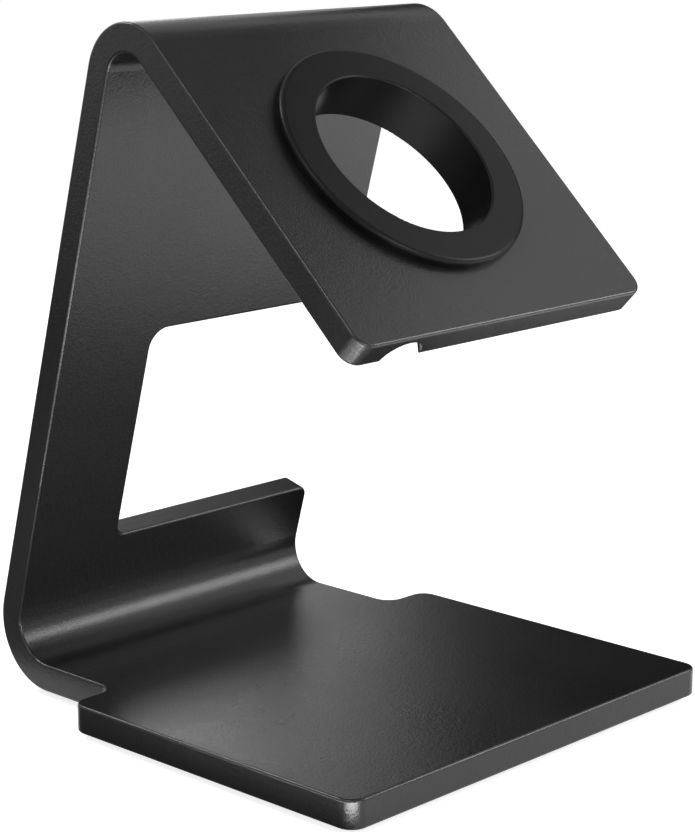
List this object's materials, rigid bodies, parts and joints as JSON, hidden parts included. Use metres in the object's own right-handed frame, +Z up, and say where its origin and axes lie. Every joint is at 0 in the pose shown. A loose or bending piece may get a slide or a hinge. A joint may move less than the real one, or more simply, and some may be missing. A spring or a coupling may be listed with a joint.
{
  "type": "charging dock",
  "caption": "Watch charging dock: a bent metal plate with a flat winged base, a leaning back panel with an open window and a sloping head that holds a round charger in a rubber collar.",
  "frame": {"origin": "middle of the footprint, on the table, at the undersides of the pads", "axes": "+Z up, -Y towards the front, where the head and base end, +X to the side on which the window is open"},
  "size_m": [0.0732, 0.0786, 0.0984],
  "materials": {
    "plate_finish": "black satin powder coat on bent metal plate",
    "collar_rubber": "matt black moulded rubber",
    "pad_rubber": "matt black rubber"
  },
  "bodies": {
    "root": {"stand_plate": "plate_finish", "charger_collar": "collar_rubber", "pad_front_left": "pad_rubber", "pad_front_right": "pad_rubber", "pad_rear_left": "pad_rubber", "pad_rear_right": "pad_rubber"}
  },
  "joints": []
}
